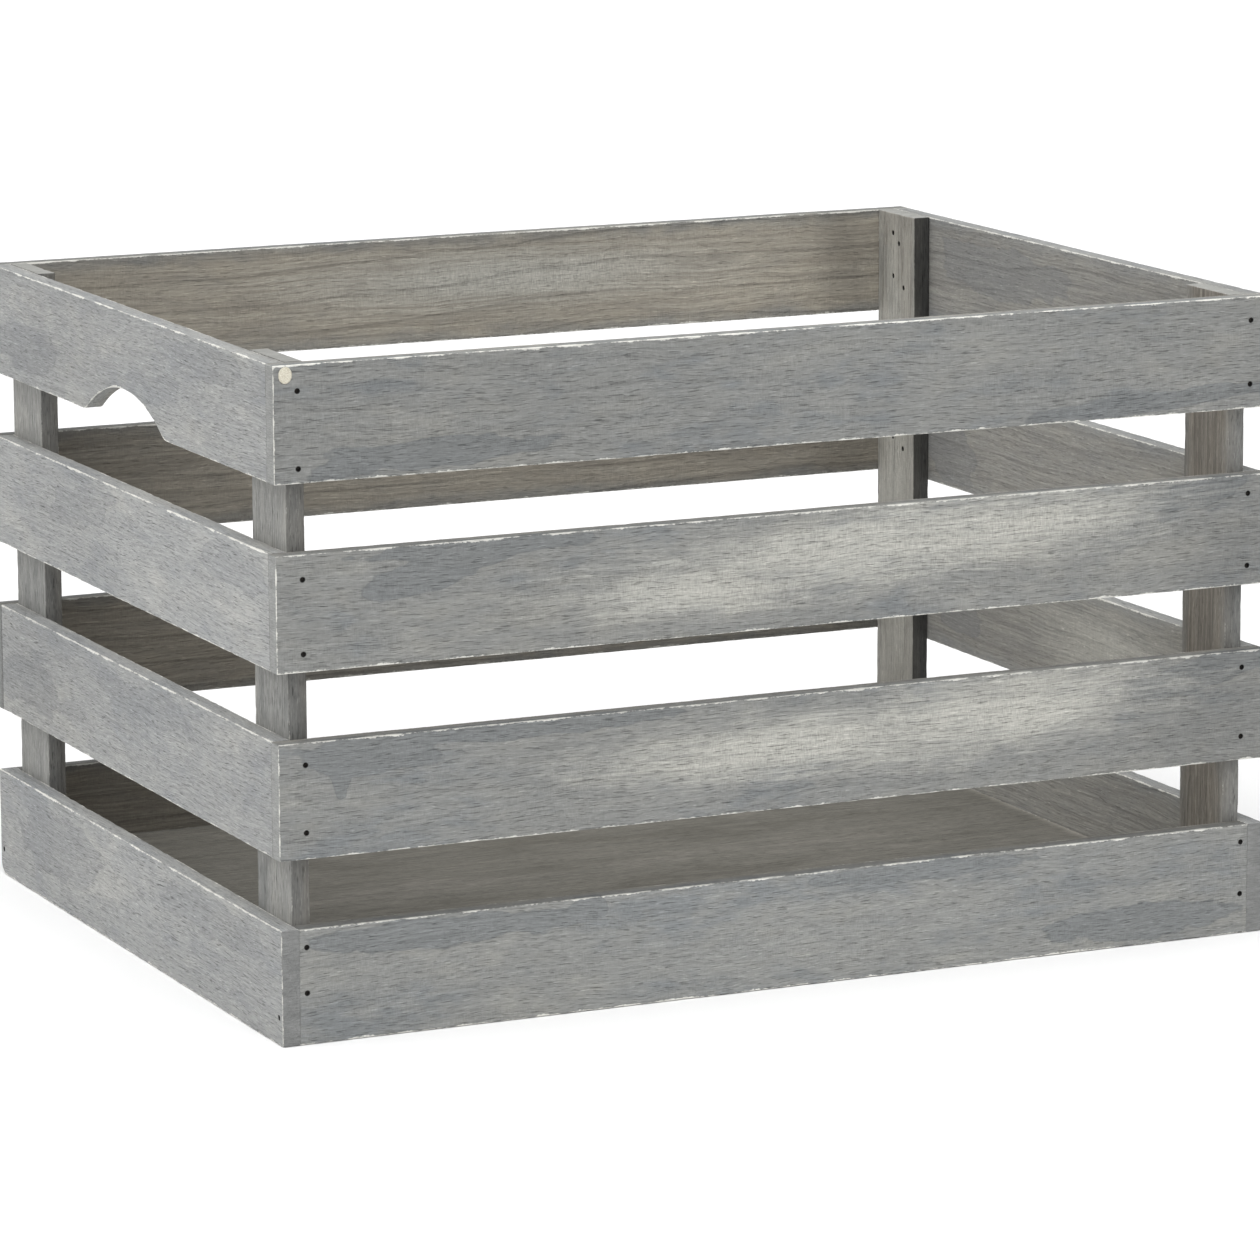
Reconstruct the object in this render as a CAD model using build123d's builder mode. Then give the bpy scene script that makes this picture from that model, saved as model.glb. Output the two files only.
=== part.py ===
from build123d import *
import os

# Slatted wooden crate: four rows of thin slats nailed round four upright corner battens, with a
# panel for a floor. The front looks along -Y and the long side runs along X. The origin is at the
# middle of the underside. All sizes are in millimetres.

# Overall sizes, outside
crate_length = 460.0
crate_width = 346.0
crate_height = 280.0

# Slats: row 1 is the top one
slat_rows = 4
slat_height = 48.5
slat_thickness = 8.0
end_slat_thickness = 8.0
edge_break = 0.5

# Corner battens, flat against the inside of the end slats
batten_thickness = 8.0
batten_width = 37.5

# Hand hold, an arch cut up into the lower edge of each top end slat
hand_hold_width = 96.0
hand_hold_rise = 15.0

# The bottom left end slat has its back lower corner knocked off
worn_corner_radius = 6.0

# Floor panel and the cleats that carry it
cleat_height = 8.0
cleat_width = 12.0
floor_thickness = 6.0
floor_gap = 1.0
cleat_gap = 0.5

# Brads, driven in until the head is below the surface
shank_radius = 0.65
head_radius = 1.0
head_height = 0.8
point_length = 2.0
set_depth = 1.2
slat_brad_length = 19.0
batten_brad_length = 13.5
corner_brad_length = 19.0
floor_brad_length = 12.0
cleat_brad_length = 16.0

# Brads that hold the long slats to the batten edges: distance from the slat's long edges, and
# how far above the floor the lowest ones stay
slat_brad_edge = 9.0
slat_brad_above_floor = 5.5

# How far each of them strays: along the slat towards its middle, down from the upper line, and
# up from the lower line, row by row at the slat's two ends
left_strays = ((-1.5, 1.8, -3.0), (-0.4, 1.3, -1.5), (-0.2, 0.3, 2.0), (-0.8, -1.2, 2.0))
right_strays = ((-2.0, 1.3, 1.5), (-1.8, -0.7, -0.5), (0.0, -1.7, 1.5), (-0.7, -1.2, -2.0))

# Brads that hold each batten to an end slat: distance in from the batten's outer edge, with the
# drop below the slat's upper edge or the rise above its lower edge
upper_batten_brads = ((15.0, 9.5), (21.0, 14.0))
lower_batten_brads = ((15.5, 18.5), (26.0, 14.0))

# Brads in the four bottom corners, and those along the floor's two long edges
corner_brad_level = 11.5
floor_brad_count = 5
floor_brad_margin = 30.0

# Oval plug near the top left corner of the front
plug_width = 6.0
plug_height = 7.2
plug_depth = 3.0
plug_from_end = 5.4
plug_from_top = 4.2

# Worked out from the sizes above
slat_gap = (crate_height - slat_rows * slat_height) / (slat_rows - 1)
floor_level = cleat_height + floor_thickness
inside_length = crate_length - 2 * end_slat_thickness
inside_width = crate_width - 2 * slat_thickness
between_battens = inside_length - 2 * batten_thickness

# The outside faces, each with its local X to the right as seen from outside and its local Y up
front_face = Plane(origin=(0, -crate_width / 2, 0), x_dir=(1, 0, 0), z_dir=(0, -1, 0))
back_face = Plane(origin=(0, crate_width / 2, 0), x_dir=(-1, 0, 0), z_dir=(0, 1, 0))
left_face = Plane(origin=(-crate_length / 2, 0, 0), x_dir=(0, -1, 0), z_dir=(-1, 0, 0))
right_face = Plane(origin=(crate_length / 2, 0, 0), x_dir=(0, 1, 0), z_dir=(1, 0, 0))

floor_face = Plane.XY.offset(floor_level)
plug_middle = (plug_from_end - crate_length / 2, crate_height - plug_from_top)
rows = range(1, slat_rows + 1)
os.makedirs("parts", exist_ok=True)


def finish(piece, name):
    """Label a finished piece and write it out."""
    piece.part.label = name
    export_step(piece.part, f"parts/{name}.step")


def row_bottom(row):
    """Height of the lower edge of a row of slats."""
    return crate_height - row * slat_height - (row - 1) * slat_gap


def inward(face, depth):
    """The plane that lies a depth inside an outside face and looks the same way."""
    return face.offset(-depth)


def facing_inside(face, depth):
    """The plane a depth inside an outside face that looks into the crate, with local Y up."""
    plane = inward(face, depth)
    return Plane(origin=plane.origin, x_dir=-plane.x_dir, z_dir=-plane.z_dir)


def slat_brad_spots(row, end):
    """Places of the two brads at one end of a long slat, seen from outside."""
    strays = {-1: left_strays, 1: right_strays}[end][row - 1]
    lower_line = row_bottom(row) + slat_brad_edge
    if row == slat_rows:
        lower_line = floor_level + slat_brad_above_floor
    upper_line = row_bottom(row) + slat_height - slat_brad_edge
    along = end * (inside_length / 2 - batten_thickness / 2 - strays[0])
    return [(along, upper_line - strays[1]), (along, lower_line + strays[2])]


def batten_brad_spots(row, end):
    """Places of the four brads where a batten crosses an end slat, seen from inside."""
    bottom = row_bottom(row)
    top = bottom + slat_height
    edge = inside_width / 2
    upper = [(end * (edge - inset), top - drop) for inset, drop in upper_batten_brads]
    lower = [(end * (edge - inset), bottom + rise) for inset, rise in lower_batten_brads]
    return upper + lower


def corner_brad_spots():
    """Places of the two brads in a bottom end slat, seen from outside."""
    across = crate_width / 2 - slat_thickness / 2
    return [(-across, corner_brad_level), (across, corner_brad_level)]


def floor_brad_spots():
    """Places of the brads along the floor's two long edges, seen from above."""
    reach = between_battens / 2 - floor_brad_margin
    step = 2 * reach / (floor_brad_count - 1)
    line = inside_width / 2 - cleat_width / 2
    return [(step * i - reach, y) for y in (-line, line) for i in range(floor_brad_count)]


def cleat_brad_spots():
    """Places of the brads in a cleat, halfway between the floor's, seen from inside."""
    reach = between_battens / 2 - floor_brad_margin
    step = 2 * reach / (floor_brad_count - 1)
    return [(step * (i + 0.5) - reach, cleat_height / 2) for i in range(floor_brad_count - 1)]


def brad_hole(thickness):
    """Hole for a brad's head and shank, through the piece that it enters first."""
    CounterBoreHole(
        radius=shank_radius,
        counter_bore_radius=head_radius,
        counter_bore_depth=set_depth + head_height,
        depth=thickness,
    )


def shank_hole(length, passed):
    """Hole for what is left of a brad once it has passed through the first piece."""
    Hole(radius=shank_radius, depth=length + set_depth - passed)


def brad(length):
    """One brad, pointing down, its head a set depth below the origin."""
    top = -set_depth
    neck = top - head_height
    tip = top - length
    with BuildPart() as nail:
        with BuildSketch(Plane.XZ):
            with BuildLine():
                Polyline(
                    (0, top),
                    (head_radius, top),
                    (head_radius, neck),
                    (shank_radius, neck),
                    (shank_radius, tip + point_length),
                    (0, tip),
                    close=True,
                )
            make_face()
        revolve(axis=Axis.Z)
    return nail.part


def brad_group(name, length, places):
    """All the brads of one kind: places pairs each plane with its spots."""
    nail = brad(length)
    with BuildPart() as group:
        for plane, spots in places:
            with Locations(plane):
                with Locations(*spots):
                    add(nail)
    finish(group, name)


# Long slats. The upper rows run the full length, over the ends of the end slats. The bottom row
# stands between the bottom end slats.
for side, face in (("front", front_face), ("back", back_face)):
    for row in rows:
        length = crate_length if row < slat_rows else inside_length
        with BuildPart() as long_slat:
            with BuildSketch(face):
                with Locations((0, row_bottom(row) + slat_height / 2)):
                    Rectangle(length, slat_height)
            extrude(amount=-slat_thickness)
            chamfer(long_slat.edges().filter_by(Axis.X), length=edge_break)
            with Locations(face):
                with Locations(*slat_brad_spots(row, -1), *slat_brad_spots(row, 1)):
                    brad_hole(slat_thickness)
            if row == slat_rows:
                for end_face in (left_face, right_face):
                    with Locations(inward(end_face, end_slat_thickness)):
                        with Locations(*corner_brad_spots()):
                            shank_hole(corner_brad_length, end_slat_thickness)
                with Locations(facing_inside(face, slat_thickness)):
                    with Locations(*cleat_brad_spots()):
                        shank_hole(cleat_brad_length, cleat_width)
            if side == "front" and row == 1:
                with BuildSketch(face):
                    with Locations(plug_middle):
                        Ellipse(plug_width / 2, plug_height / 2)
                extrude(amount=-plug_depth, mode=Mode.SUBTRACT)
        finish(long_slat, f"{side}_slat_{row}")

# End slats. The upper rows stand between the long slats. The bottom row runs the full width, over
# the ends of the bottom long slats.
for hand, face in (("left", left_face), ("right", right_face)):
    for row in rows:
        length = inside_width if row < slat_rows else crate_width
        with BuildPart() as end_slat:
            with BuildSketch(face):
                with Locations((0, row_bottom(row) + slat_height / 2)):
                    Rectangle(length, slat_height)
            extrude(amount=-end_slat_thickness)
            if hand == "left" and row == slat_rows:
                lower_corners = end_slat.edges().filter_by(Axis.X).group_by(Axis.Z)[0]
                fillet(lower_corners.sort_by(Axis.Y)[-1], radius=worn_corner_radius)
            chamfer(end_slat.edges().filter_by(Axis.Y), length=edge_break)
            if row == 1:
                with BuildSketch(face):
                    with BuildLine():
                        foot = hand_hold_width / 2
                        spring = row_bottom(row)
                        ThreePointArc((-foot, spring), (0, spring + hand_hold_rise), (foot, spring))
                        Line((foot, spring), (-foot, spring))
                    make_face()
                extrude(amount=-end_slat_thickness, mode=Mode.SUBTRACT)
            with Locations(facing_inside(face, end_slat_thickness)):
                with Locations(*batten_brad_spots(row, -1), *batten_brad_spots(row, 1)):
                    shank_hole(batten_brad_length, batten_thickness)
            if row == slat_rows:
                with Locations(face):
                    with Locations(*corner_brad_spots()):
                        brad_hole(end_slat_thickness)
        finish(end_slat, f"{hand}_end_slat_{row}")

# Corner battens, full height, in the four inside corners. The last value says towards which end
# of both faces' local X the batten stands.
corners = (
    ("front_left", front_face, left_face, -1),
    ("front_right", front_face, right_face, 1),
    ("back_left", back_face, left_face, 1),
    ("back_right", back_face, right_face, -1),
)
for corner, side_face, end_face, end in corners:
    with BuildPart() as batten:
        with BuildSketch(facing_inside(end_face, end_slat_thickness)):
            with Locations((end * (inside_width - batten_width) / 2, crate_height / 2)):
                Rectangle(batten_width, crate_height)
        extrude(amount=batten_thickness)
        chamfer(batten.edges().filter_by(Axis.Z), length=edge_break)
        for row in rows:
            with Locations(facing_inside(end_face, end_slat_thickness + batten_thickness)):
                with Locations(*batten_brad_spots(row, end)):
                    brad_hole(batten_thickness)
            with Locations(inward(side_face, slat_thickness)):
                with Locations(*slat_brad_spots(row, end)):
                    shank_hole(slat_brad_length, slat_thickness)
    finish(batten, f"{corner}_batten")

# Floor panel, cut out at the corners for the battens
with BuildPart() as floor_panel:
    panel_length = inside_length - 2 * floor_gap
    panel_width = inside_width - 2 * floor_gap
    with BuildSketch(Plane.XY.offset(cleat_height)):
        Rectangle(panel_length, panel_width)
        with GridLocations(panel_length - batten_thickness, panel_width - batten_width, 2, 2):
            Rectangle(batten_thickness, batten_width, mode=Mode.SUBTRACT)
    extrude(amount=floor_thickness)
    with Locations(floor_face):
        with Locations(*floor_brad_spots()):
            brad_hole(floor_thickness)
finish(floor_panel, "floor_panel")

# Floor cleats, along the bottom long slats and between the battens
for side, face in (("front", front_face), ("back", back_face)):
    with BuildPart() as cleat:
        with BuildSketch(facing_inside(face, slat_thickness)):
            with Locations((0, cleat_height / 2)):
                Rectangle(between_battens - 2 * cleat_gap, cleat_height)
        extrude(amount=cleat_width)
        with Locations(facing_inside(face, slat_thickness + cleat_width)):
            with Locations(*cleat_brad_spots()):
                brad_hole(cleat_width)
        over_cleat = [(x, y) for x, y in floor_brad_spots() if y * face.origin.Y > 0]
        with Locations(Plane.XY.offset(cleat_height)):
            with Locations(*over_cleat):
                shank_hole(floor_brad_length, floor_thickness)
    finish(cleat, f"{side}_floor_cleat")

# Oval plug in the front's top left corner
with BuildPart() as corner_plug:
    with BuildSketch(front_face):
        with Locations(plug_middle):
            Ellipse(plug_width / 2, plug_height / 2)
    extrude(amount=-plug_depth)
finish(corner_plug, "corner_plug")

# Brads, one group for each kind
for side, face in (("front", front_face), ("back", back_face)):
    spots = [spot for row in rows for end in (-1, 1) for spot in slat_brad_spots(row, end)]
    brad_group(f"{side}_slat_brads", slat_brad_length, [(face, spots)])

for hand, face in (("left", left_face), ("right", right_face)):
    spots = [spot for row in rows for end in (-1, 1) for spot in batten_brad_spots(row, end)]
    plane = facing_inside(face, end_slat_thickness + batten_thickness)
    brad_group(f"{hand}_batten_brads", batten_brad_length, [(plane, spots)])

corner_places = [(face, corner_brad_spots()) for face in (left_face, right_face)]
brad_group("bottom_corner_brads", corner_brad_length, corner_places)

brad_group("floor_brads", floor_brad_length, [(floor_face, floor_brad_spots())])

cleat_planes = [facing_inside(face, slat_thickness + cleat_width) for face in (front_face, back_face)]
brad_group("cleat_brads", cleat_brad_length, [(plane, cleat_brad_spots()) for plane in cleat_planes])
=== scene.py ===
import math
from collections import namedtuple

import bpy
import numpy as np
from mathutils import Matrix, Vector


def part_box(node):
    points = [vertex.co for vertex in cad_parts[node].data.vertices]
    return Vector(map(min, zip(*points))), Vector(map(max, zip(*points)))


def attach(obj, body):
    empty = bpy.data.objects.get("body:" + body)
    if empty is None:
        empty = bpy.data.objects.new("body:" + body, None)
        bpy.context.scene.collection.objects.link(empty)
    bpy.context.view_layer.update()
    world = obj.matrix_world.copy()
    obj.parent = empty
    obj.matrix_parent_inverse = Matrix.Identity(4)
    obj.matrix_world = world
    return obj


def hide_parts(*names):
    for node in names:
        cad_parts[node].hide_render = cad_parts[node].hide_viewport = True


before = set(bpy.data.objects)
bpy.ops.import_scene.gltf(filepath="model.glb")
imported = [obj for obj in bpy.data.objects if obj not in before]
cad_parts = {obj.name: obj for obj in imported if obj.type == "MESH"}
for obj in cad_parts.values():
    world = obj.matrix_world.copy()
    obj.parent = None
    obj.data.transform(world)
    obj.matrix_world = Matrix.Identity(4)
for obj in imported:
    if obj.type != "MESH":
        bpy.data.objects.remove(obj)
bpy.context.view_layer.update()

# Looks of the slatted wooden crate. Every wooden node is replaced by a board with worn edges, chips
# and real brad holes. Boards are worked out in millimetres in their own axes: u along the grain,
# v across the board and w out of its better face.
MM = 1000.0
BODY = "root"
X, Y, Z = Vector((1, 0, 0)), Vector((0, 1, 0)), Vector((0, 0, 1))
U, V, W = range(3)
ROWS = (1, 2, 3, 4)
BOARD_SEED = 100
SHARP_ANGLE = math.radians(52)

# Lattice of a board: distances of the lines next to an edge, spacing elsewhere along u, v and w,
# and the lines over the square patch that a hole is set in
EDGE_STEPS = (0.0, 0.18, 0.42, 0.75, 1.2, 1.9, 2.8)
SPACING = (1.7, 2.2, 2.2)
CLOSEST_LINES = 0.15
PATCH_LINES = (-1.0, -0.6, -0.2, 0.2, 0.6, 1.0)
PATCH_REACH = 1.6
PATCH_MARGIN = 0.8
ARCH_PATCH = 3.0
NOTCH_PATCH = 1.0

# Brads as they are found in the CAD meshes: how far apart two of them are at least, and the share
# of the widest radius that tells the head from the shank
BRAD_APART = 2.4
BRAD_LONGEST = 22
HEAD_SHARE = 0.9
NECK_DEPTH = 0.05

# Holes: room round a brad, the least depth and distance from an edge that make one, its tip, and
# its broken edge. Brad holes also have a halo of pale wood round a chipped rim, which darkens into
# painted shade down in the hole.
BORE_ROOM = 0.05
BORE_LEAST = 0.3
BORE_TIP = 0.2
BRAD_HOLE = 2.0
PLUG_BREAK = 0.12
CHIPPED = 0.26
HALO = 0.55
HALO_WEAR = 0.3

# Radius of the edges by state, with ripples as (swing, wave length, row of the noise)
EDGE_RADII = {
    "worn": (0.42, ((0.16, 31, 0.3), (0.10, 6.3, 7.7))),
    "plain": (0.3, ((0.1, 3, 1.2),)),
    "tight": (0.06, ()),
}
RADIUS_LIMITS = (0.05, 1.5)
EDGE_BLEND = 1.1
FAR_WEIGHT = 1e-9
FAR_RADIUS = 0.12
FAR = 99.0
CROSS_EDGE = 1.7

# Chips in the worn edges
CHIP_SPACING = 17
CHIP_REACH = (0.9, 4.5)
CHIP_DEPTH = (0.15, 0.6)
CHIP_SKEW = 1.3
CHIP_PROFILE = 1.6

# The hand hold's arch, as (span, rise), how soft its line is and where its lift ends; the corner
# that is knocked off the bottom left end slat
ARCH = (96.0, 15.0)
ARCH_SOFT = 0.9
ARCH_BEYOND = 4
ARCH_FADE = 3
KNOCKED_CORNER = (6.0, (-1, -1))

# Attributes: depth of the end grain, the depth that the inner side's look starts at, the field
# outside any patch, how deep a side's own shade goes, and where the grain is read from
END_DEPTH = 0.12
INNER_START = 1.0
NO_PATCH = -3.0
SIDE_DEPTH = 0.2
GRAIN_PLACES = (200, 4000)
TONE_SPREAD = 0.03

# Brad nodes and the axis that each one's brads lie along
BRAD_NODES = {
    "front_slat_brads": 1,
    "back_slat_brads": 1,
    "left_batten_brads": 0,
    "right_batten_brads": 0,
    "bottom_corner_brads": 0,
    "floor_brads": 2,
    "cleat_brads": 1,
}

# Stained and rubbed patches as (u, v, half length, half height, turn in degrees), in millimetres
STAINS = {
    "front_slat_1": ((-160, -15, 50, 6, 1), (-196, -18, 20, 6, 10), (170, -18, 62, 4, 3)),
    "front_slat_2": ((-164, 12, 32, 7, 12), (-140, 21, 50, 4, 0), (190, 17, 26, 6, 8)),
    "front_slat_3": (
        (-190, 17, 34, 8, -4), (-203, 8, 3.5, 8, 0), (-120, 21, 70, 4, 0), (196, 16, 36, 7, 10),
    ),
    "front_slat_4": (
        (-165, 17, 62, 7, 0), (-92, 19, 9, 6, 0), (70, 20, 60, 4, 0), (170, -14, 50, 8, 0),
    ),
    "left_end_slat_1": ((100, 16, 50, 7, 0), (-120, -8, 40, 10, 0)),
    "left_end_slat_2": ((-60, 8, 40, 9, 10), (128, 12, 40, 8, 0)),
    "left_end_slat_3": ((20, 12, 60, 8, 0), (-130, -6, 40, 12, 0)),
    "left_end_slat_4": ((-90, 4, 50, 14, 0), (90, 12, 60, 8, 0)),
    "right_end_slat_1": ((60, 6, 60, 12, 0),),
    "right_end_slat_2": ((120, 2, 44, 16, 30),),
    "right_end_slat_3": ((120, 6, 40, 14, 20),),
    "back_right_batten": ((95, 2, 36, 7, 24),),
}
RUBS = {
    "front_slat_2": ((50, 8, 150, 20, 3), (110, 11, 80, 16, 4), (-40, -6, 70, 12, 0)),
    "front_slat_3": ((100, 8, 100, 20, 3), (0, 2, 110, 16, 0)),
    "right_end_slat_3": ((-50, 2, 90, 20, 0),),
    "back_slat_1": ((-20, 4, 120, 16, 0),),
    "back_right_batten": ((0, 0, 220, 30, 0),),
}

# Soft patches of painted shade and of tone, as (u, v, half length, half height, share of the
# light): painted shadows in the corners and by the battens, at the right ends of the middle front
# slats and over the front left of the floor, paler places, and the pale line along the floor's
# right edge
SHADOW_AND_TONE_PATCHES = {
    "front_slat_1": ((40, 0, 90, 60, 1.08), (190, -10, 60, 30, 1.05)),
    "front_slat_2": ((212, 0, 36, 60, 0.84),),
    "front_slat_3": ((205, 0, 50, 60, 0.82),),
    "front_slat_4": ((20, 0, 150, 60, 1.13),),
    "back_slat_1": (
        (-196, 0, 14, 60, 0.72), (175, 0, 60, 60, 0.92), (-20, 0, 60, 60, 0.96),
        (-120, 0, 60, 60, 1.16),
    ),
    "back_slat_2": ((-196, 0, 16, 60, 0.75), (190, 0, 60, 60, 0.78), (-20, 0, 130, 60, 1.3)),
    "back_slat_3": ((-196, 0, 16, 60, 0.75), (0, 0, 130, 60, 1.15)),
    "left_end_slat_1": ((-90, 0, 70, 60, 0.93),),
    "left_end_slat_2": ((-90, 0, 90, 60, 0.9),),
    "left_end_slat_3": ((-120, 0, 60, 60, 0.84),),
    "left_end_slat_4": ((0, 0, 60, 60, 1.06),),
    "right_end_slat_1": ((150, 0, 16, 60, 0.8), (0, 0, 100, 60, 1.08)),
    "right_end_slat_2": ((150, 0, 16, 60, 0.85), (112, 0, 26, 60, 0.86), (-20, 0, 90, 60, 1.1)),
    "right_end_slat_3": ((150, 0, 16, 60, 0.85), (-60, 0, 70, 60, 1.22)),
    "front_left_batten": ((12, 0, 16, 40, 1.26),),
    "floor_panel": (
        (-200, -130, 130, 90, 0.7), (-60, -60, 60, 16, 1.08), (221.5, 0, 3, 300, 1.9),
    ),
}

# Sides that are darker or lighter than the rest of their board, as (axis, side, share of the
# light): painted light on the top faces of the top slats, painted shade on the top faces of the
# lower front slats and on the narrow edges of the battens, and a darker tone on the ends of the
# bottom end slats
SIDE_LIGHT_AND_TONE = {
    "front_slat_1": ((V, 1, 1.18),),
    "front_slat_2": ((V, 1, 0.9),),
    "front_slat_3": ((V, 1, 0.78),),
    "front_slat_4": ((V, 1, 0.6),),
    "left_end_slat_1": ((V, 1, 1.13),),
    "left_end_slat_4": ((U, 1, 0.88),),
    "right_end_slat_4": ((U, -1, 0.9),),
    "front_left_batten": ((V, -1, 0.55), (V, 1, 0.55)),
    "back_left_batten": ((V, -1, 0.55), (V, 1, 0.55)),
    "front_right_batten": ((V, -1, 0.7),),
    "back_right_batten": ((V, -1, 0.18),),
}
# painted shade in the brad holes: share of the light left on their lower rims and walls
BORE_SHADE = 0.07

# Boards that are darker or lighter than the rest of their kind, on the side that is seen
TONES = {
    "front_slat_2": 1.06, "front_slat_3": 1.04, "front_slat_4": 1.04,
    "back_slat_1": 1.06, "back_slat_2": 0.72, "back_slat_3": 0.58, "back_slat_4": 0.5,
    "left_end_slat_2": 1.12, "left_end_slat_3": 1.04,
    "right_end_slat_2": 1.08, "right_end_slat_3": 1.06, "right_end_slat_4": 1.25,
    "front_right_batten": 1.06, "back_right_batten": 1.06, "floor_panel": 0.86,
}

# A hole: the axis and side it is entered from, its middle and its stretch on the other two axes,
# its (radius, level) steps along the way in, and whether it goes through
Hole = namedtuple("Hole", "axis side at stretch steps through")


def rgb(red, green, blue):
    """A colour from 0 to 255 display values, as the shader takes it."""
    linear = [((c / 255 + 0.055) / 1.055) ** 2.4 for c in (red, green, blue)]
    return (*linear, 1.0)


def others(axis):
    """The two other axes."""
    return [a for a in range(3) if a != axis]


def with_axis(pair, axis, value):
    """Three coordinates, from those on the two other axes and the one on this axis."""
    three = list(pair)
    three.insert(axis, value)
    return three


def link(name, data):
    """A new object of the scene."""
    made = bpy.data.objects.new(name, data)
    bpy.context.scene.collection.objects.link(made)
    return made


def make_piece(name, points, faces, material, fields=()):
    """An object from points in millimetres, smooth but for its sharp edges."""
    mesh = bpy.data.meshes.new(name)
    mesh.from_pydata((np.array(points) / MM).tolist(), [], faces)
    for field, values in dict(fields).items():
        layer = mesh.attributes.new(field, "FLOAT_VECTOR", "POINT")
        layer.data.foreach_set("vector", values.astype(np.float32).ravel())
    mesh.materials.append(material)
    mesh.shade_smooth()
    mesh.set_sharp_from_angle(angle=SHARP_ANGLE)
    return link(name, mesh)


class Ripple:
    """Smooth noise from -1 to 1 over a plane, from a table of random numbers."""

    SIZE = 97

    def __init__(self, seed):
        self.table = np.random.default_rng(seed).uniform(-1, 1, (self.SIZE, self.SIZE))

    def at(self, i, j):
        return self.table[i % self.SIZE, j % self.SIZE]

    def __call__(self, x, y=0.0):
        x, y = np.broadcast_arrays(np.asarray(x, float), np.asarray(y, float))
        i, j = np.floor(x).astype(int), np.floor(y).astype(int)
        fx, fy = x - i, y - j
        fx, fy = fx * fx * (3 - 2 * fx), fy * fy * (3 - 2 * fy)
        low = self.at(i, j) * (1 - fx) + self.at(i + 1, j) * fx
        high = self.at(i, j + 1) * (1 - fx) + self.at(i + 1, j + 1) * fx
        return low * (1 - fy) + high * fy


def hollow(ripple, waves):
    """Depth of a face's unevenness: (depth, x, y) waves of one ripple, never below zero."""
    return sum(depth * (1 + ripple(x, y)) / 2 for depth, x, y in waves)


def find_brads():
    """Every brad in the CAD brad nodes: top of its head, its neck, its tip and its two radii."""
    found = []
    for node, axis in BRAD_NODES.items():
        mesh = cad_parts[node].data
        left = np.array([v.co for v in mesh.vertices], float) * MM
        across = others(axis)
        while len(left):
            apart = left - left[0]
            near = np.hypot(*apart[:, across].T) < BRAD_APART
            near &= np.abs(apart[:, axis]) < BRAD_LONGEST
            one, left = left[near], left[~near]
            middle = (one[:, across].min(0) + one[:, across].max(0)) / 2
            reach = np.hypot(*(one[:, across] - middle).T)
            widest = reach.max()
            depth = one[:, axis]
            head = depth[reach > HEAD_SHARE * widest]
            tip = depth[np.argmax(np.abs(depth - head.mean()))]
            outer = head[np.argmax(np.abs(head - tip))]
            neck = head[np.argmin(np.abs(head - tip))]
            shank = reach[np.abs(depth - neck) > NECK_DEPTH]
            shank = shank[shank < HEAD_SHARE * widest].max()
            ends = [np.array(with_axis(middle, axis, level)) for level in (outer, neck, tip)]
            found.append((*ends, float(widest), float(shank)))
    return found


def patch_reach(radius, stretch):
    """Half the width of the square patch round a hole."""
    return min(radius * PATCH_REACH, radius + PATCH_MARGIN) * stretch


def grid_lines(half, spacing, spots):
    """Lattice lines from -half to half: close at both ends and over the (middle, reach) spots."""
    kept = [side * (half - step) for step in EDGE_STEPS for side in (-1, 1)]
    kept += [middle + reach * k for middle, reach in spots for k in PATCH_LINES]
    kept = sorted(k for k in kept if abs(k) <= half)
    lines = [-half]
    for line in kept:
        if line - lines[-1] < CLOSEST_LINES or half - line < CLOSEST_LINES and line < half:
            continue
        start, gap = lines[-1], line - lines[-1]
        count = max(1, round(gap / spacing))
        lines += [start + gap * (i + 1) / count for i in range(count)]
    return np.array(lines)


def point_key(cell, count):
    """Number of a lattice point, from its line on each axis."""
    i, j, k = cell
    return (i * count[1] + j) * count[2] + k


def skin(solid, count):
    """Quads over the outside of the lattice, as point keys, and the place of each one: its axis,
    its line on that axis and its cells on the two others. solid says which columns of cells are
    wood."""
    quads, places = [], []

    def sheet(axis, line, b, c, outward):
        corners = []
        for db, dc in ((0, 0), (1, 0), (1, 1), (0, 1)):
            corners.append(point_key(with_axis((b + db, c + dc), axis, line + 0 * b), count))
        if (outward > 0) == (axis == 1):
            corners.reverse()
        quads.append(np.stack(corners, 1))
        places.append(np.stack([axis + 0 * b, line + 0 * b, b, c], 1))

    b, c = np.nonzero(solid)
    sheet(W, 0, b, c, -1)
    sheet(W, count[W] - 1, b, c, 1)
    ring = np.pad(solid, 1).astype(int)
    deep = np.arange(count[W] - 1)
    for axis in (U, V):
        step = np.diff(ring, axis=axis)
        step = step[:, 1:-1] if axis == U else step[1:-1, :]
        for outward in (-1, 1):
            i, j = np.nonzero(step == -outward)
            line, cell = (i, j) if axis == U else (j, i)
            line, cell = np.repeat(line, len(deep)), np.repeat(cell, len(deep))
            sheet(axis, line, cell, np.tile(deep, len(i)), outward)
    return np.concatenate(quads), np.concatenate(places)


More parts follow.
